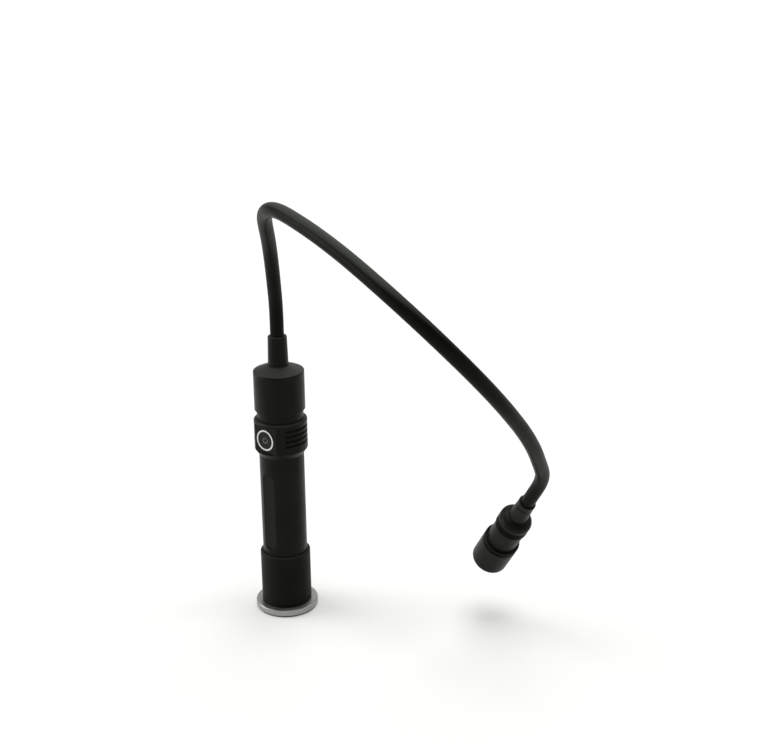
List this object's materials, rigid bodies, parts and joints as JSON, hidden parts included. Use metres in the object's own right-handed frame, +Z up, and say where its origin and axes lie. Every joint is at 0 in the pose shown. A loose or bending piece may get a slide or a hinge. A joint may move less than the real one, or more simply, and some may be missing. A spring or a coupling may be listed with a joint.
{
  "type": "gooseneck torch illuminator",
  "caption": "Battery torch on a steel disc with a light-guide adaptor, a self-supporting black fibre gooseneck and a small focusing lamp head.",
  "frame": {"origin": "centre of the base disc's underside", "axes": "+Z up along the torch; -Y is the side that the switch faces; the gooseneck leans to +X and -Y"},
  "size_m": [0.1816, 0.14, 0.25],
  "materials": {
    "black_anodised": "satin",
    "matte_anodised": "matte",
    "turned_steel": "satin",
    "adhesive_foam": "matte",
    "nickel": "gloss",
    "bezel_metal": "satin",
    "seal_rubber": "matte",
    "skin_rubber": "satin",
    "hose_steel": "satin",
    "fibre": "gloss",
    "cell_wrap": "gloss",
    "board": "satin",
    "gold_spring": "gloss",
    "button_rubber": "matte",
    "switch_plastic": "matte",
    "led_core": "satin",
    "led_phosphor": "satin",
    "clear_lens": "gloss"
  },
  "bodies": {
    "base": {"adhesive_pad": "adhesive_foam", "base_disc": "turned_steel"},
    "tail": {"tail_cap": "matte_anodised", "tail_magnet": "nickel", "tail_board": "board", "tail_spring": "gold_spring"},
    "torch": {"battery_tube": "black_anodised", "battery_cell": "cell_wrap", "tail_seal": "seal_rubber", "head_seal": "seal_rubber", "finned_head": "black_anodised", "driver_board": "board", "contact_spring": "gold_spring", "switch_bezel": "bezel_metal", "tact_switch": "switch_plastic", "switch_board": "board", "led_board": "led_core", "led_chip": "led_phosphor", "condenser_lens": "clear_lens", "lens_retainer": "black_anodised", "adaptor_seal": "seal_rubber", "adaptor_shell": "black_anodised", "adaptor_sleeve": "matte_anodised", "bundle_ferrule": "hose_steel", "neck_skin_0": "skin_rubber", "neck_hose_0": "hose_steel", "neck_bundle_0": "fibre"},
    "button": {"switch_button": "button_rubber", "tact_plunger": "switch_plastic"},
    "neck_link_1": {"neck_skin_1": "skin_rubber", "neck_hose_1": "hose_steel", "neck_bundle_1": "fibre"},
    "neck_link_2": {"neck_skin_2": "skin_rubber", "neck_hose_2": "hose_steel", "neck_bundle_2": "fibre"},
    "neck_link_3": {"neck_skin_3": "skin_rubber", "neck_hose_3": "hose_steel", "neck_bundle_3": "fibre"},
    "neck_link_4": {"neck_skin_4": "skin_rubber", "neck_hose_4": "hose_steel", "neck_bundle_4": "fibre"},
    "neck_link_5": {"neck_skin_5": "skin_rubber", "neck_hose_5": "hose_steel", "neck_bundle_5": "fibre"},
    "neck_link_6": {"neck_skin_6": "skin_rubber", "neck_hose_6": "hose_steel", "neck_bundle_6": "fibre"},
    "lamp": {"neck_skin_7": "skin_rubber", "neck_hose_7": "hose_steel", "neck_bundle_7": "fibre", "lamp_boot": "matte_anodised", "lamp_body": "black_anodised", "focus_seal": "seal_rubber", "end_ferrule": "hose_steel"},
    "focus": {"focus_sleeve": "black_anodised", "lamp_lens": "clear_lens", "lens_ring": "black_anodised"}
  },
  "joints": [
    {"name": "disc_swivel", "type": "hinge", "parent": "base", "child": "tail", "pos_m": [0, 0, 0.004], "axis": [0, 0, 1], "continuous": true},
    {"name": "tube_turn", "type": "hinge", "parent": "tail", "child": "torch", "pos_m": [0, 0, 0.0255], "axis": [0, 0, 1], "range_deg": [0, 90]},
    {"name": "switch_press", "type": "slide", "parent": "torch", "child": "button", "axis": [0, 1, 0], "range_m": [0, 0.0007], "stiffness_N_per_m": 2000, "springref_m": -0.0003},
    {"name": "neck_bend_1", "type": "hinge", "parent": "torch", "child": "neck_link_1", "pos_m": [0.0055, -0.00725, 0.1963], "axis": [0.7914, 0.6113, 0.0045], "range_deg": [-30, 30]},
    {"name": "neck_bend_2", "type": "hinge", "parent": "neck_link_1", "child": "neck_link_2", "pos_m": [0.024, -0.03125, 0.2318], "axis": [-0.7801, 0.0634, 0.6224], "range_deg": [-30, 30]},
    {"name": "neck_bend_3", "type": "hinge", "parent": "neck_link_2", "child": "neck_link_3", "pos_m": [0.0635, -0.05525, 0.24505], "axis": [0.3108, 0.8024, 0.5094], "range_deg": [-30, 30]},
    {"name": "neck_bend_4", "type": "hinge", "parent": "neck_link_3", "child": "neck_link_4", "pos_m": [0.11575, -0.06575, 0.2288], "axis": [0.1927, -0.7427, 0.6413], "range_deg": [-30, 30]},
    {"name": "neck_bend_5", "type": "hinge", "parent": "neck_link_4", "child": "neck_link_5", "pos_m": [0.15175, -0.05275, 0.1968], "axis": [-0.3671, -0.6308, -0.6836], "range_deg": [-30, 30]},
    {"name": "neck_bend_6", "type": "hinge", "parent": "neck_link_5", "child": "neck_link_6", "pos_m": [0.15975, -0.01575, 0.1573], "axis": [0.9806, -0.0634, -0.1854], "range_deg": [-30, 30]},
    {"name": "neck_bend_7", "type": "hinge", "parent": "neck_link_6", "child": "lamp", "pos_m": [0.15075, 0.023, 0.1203], "axis": [-0.6549, 0.3973, 0.6429], "range_deg": [-30, 30]},
    {"name": "focus_slide", "type": "slide", "parent": "lamp", "child": "focus", "axis": [-0.54, 0.2285, -0.81], "range_m": [-0.005, 0.003]}
  ]
}
